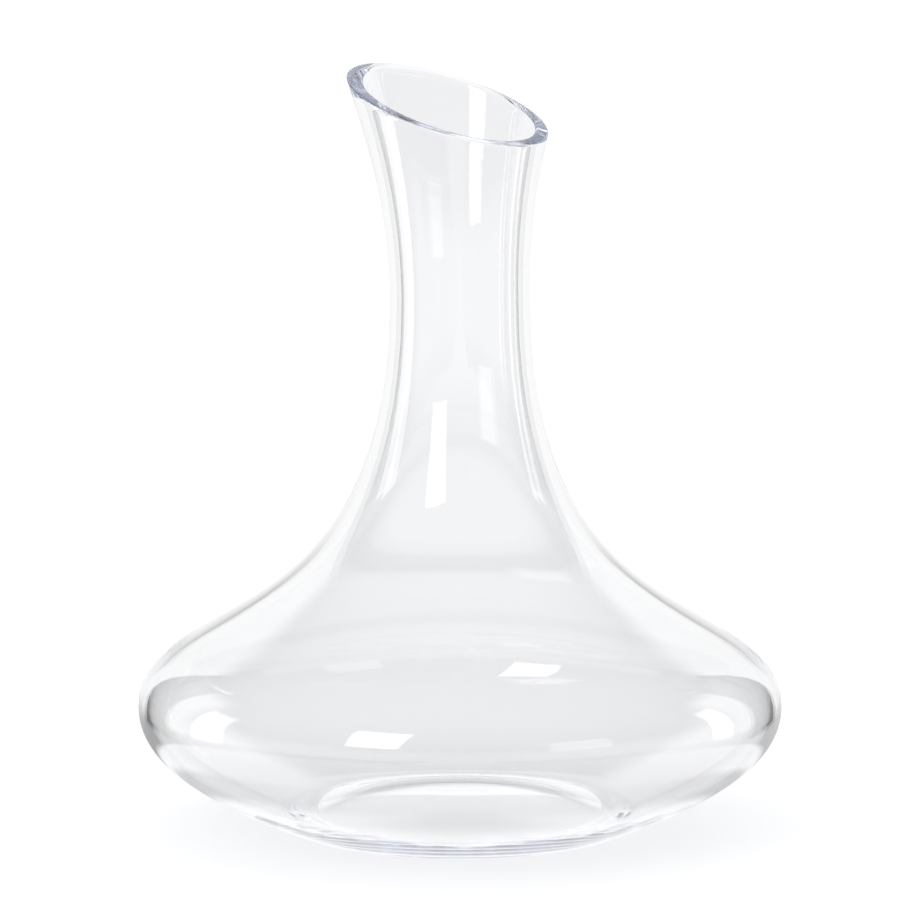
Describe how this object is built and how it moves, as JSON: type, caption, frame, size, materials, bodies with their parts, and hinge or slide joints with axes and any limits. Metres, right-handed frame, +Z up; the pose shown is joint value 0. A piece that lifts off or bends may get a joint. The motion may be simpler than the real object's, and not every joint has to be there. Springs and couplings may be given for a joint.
{
  "type": "wine decanter",
  "caption": "Clear glass wine decanter with a squat wide bowl, a waisted neck and a flared mouth cut on a slant, for airing and pouring wine.",
  "frame": {"origin": "centre of the standing ring, on the surface that the decanter stands on", "axes": "+Z up along the axis of the bowl and neck, +X towards the low side of the slanted mouth"},
  "size_m": [0.2, 0.2, 0.237],
  "materials": {
    "clear_glass": "fire-polished clear soda-lime glass, colourless with a faint blue-grey tint where it is thick"
  },
  "bodies": {
    "root": {"glass_vessel": "clear_glass"}
  },
  "joints": []
}
